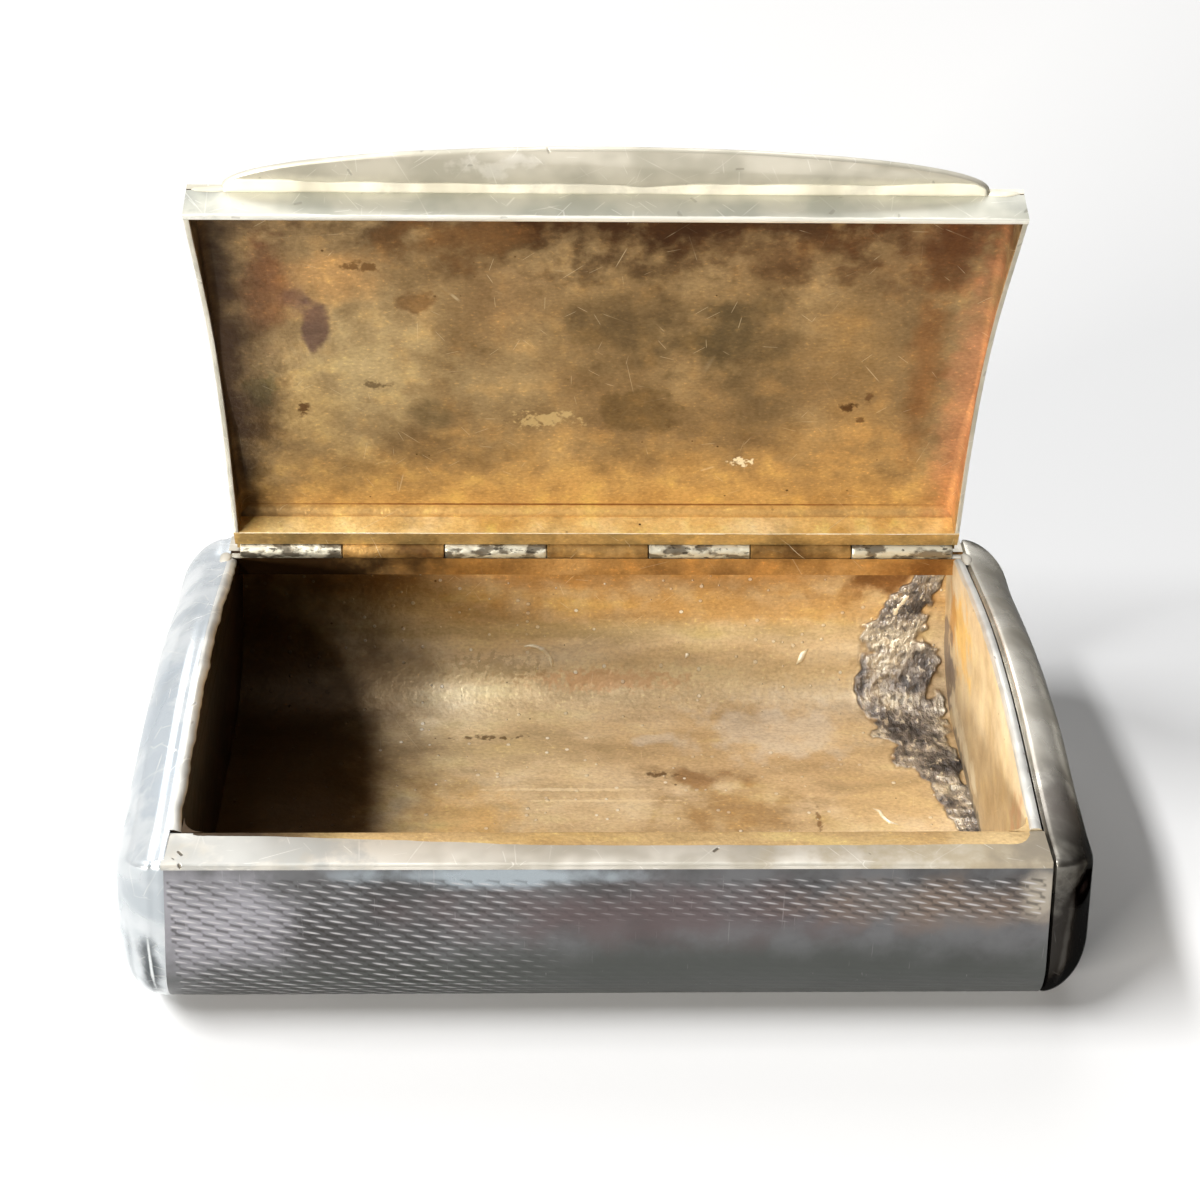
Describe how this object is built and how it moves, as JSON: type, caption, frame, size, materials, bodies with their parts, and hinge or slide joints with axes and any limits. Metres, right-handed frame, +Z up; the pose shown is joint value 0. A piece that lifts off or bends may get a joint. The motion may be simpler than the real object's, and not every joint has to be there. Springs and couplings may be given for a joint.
{
  "type": "snuff box",
  "caption": "Rectangular silver pocket snuff box with an engine-turned body, plain domed ends, gilt inside, and a shallow lid on a flush knuckle hinge with a bowed thumb lip.",
  "frame": {"origin": "centre of the flat base", "axes": "+X along the box to the right as pictured, +Y from the front towards the hinge, +Z up"},
  "size_m": [0.0778, 0.046, 0.0607],
  "materials": {
    "engine_turned_silver": "worn engine-turned silver, gilt inside",
    "polished_silver": "polished silver with light scratches",
    "gilt_silver": "worn gilding with brown tarnish",
    "joint_silver": "dull silver tube with pale corrosion",
    "pin_wire": "drawn wire"
  },
  "bodies": {
    "box": {"body_trough": "engine_turned_silver", "left_end_cap": "polished_silver", "right_end_cap": "polished_silver", "left_end_plate": "gilt_silver", "right_end_plate": "gilt_silver", "front_rim_plate": "polished_silver", "back_joint_bar": "polished_silver", "body_knuckle_1": "joint_silver", "body_knuckle_3": "joint_silver", "body_knuckle_5": "joint_silver", "body_knuckle_7": "joint_silver", "hinge_pin": "pin_wire"},
    "lid": {"lid_plate": "engine_turned_silver", "thumb_lip": "polished_silver", "lid_front_wall": "polished_silver", "lid_left_wall": "polished_silver", "lid_right_wall": "polished_silver", "lid_joint_bar": "gilt_silver", "lid_knuckle_2": "gilt_silver", "lid_knuckle_4": "gilt_silver", "lid_knuckle_6": "gilt_silver"}
  },
  "joints": [
    {"name": "lid_hinge", "type": "hinge", "parent": "box", "child": "lid", "pos_m": [0, 0.0197, 0.0181], "axis": [-1, 0, 0], "range_deg": [-74, 16]}
  ]
}
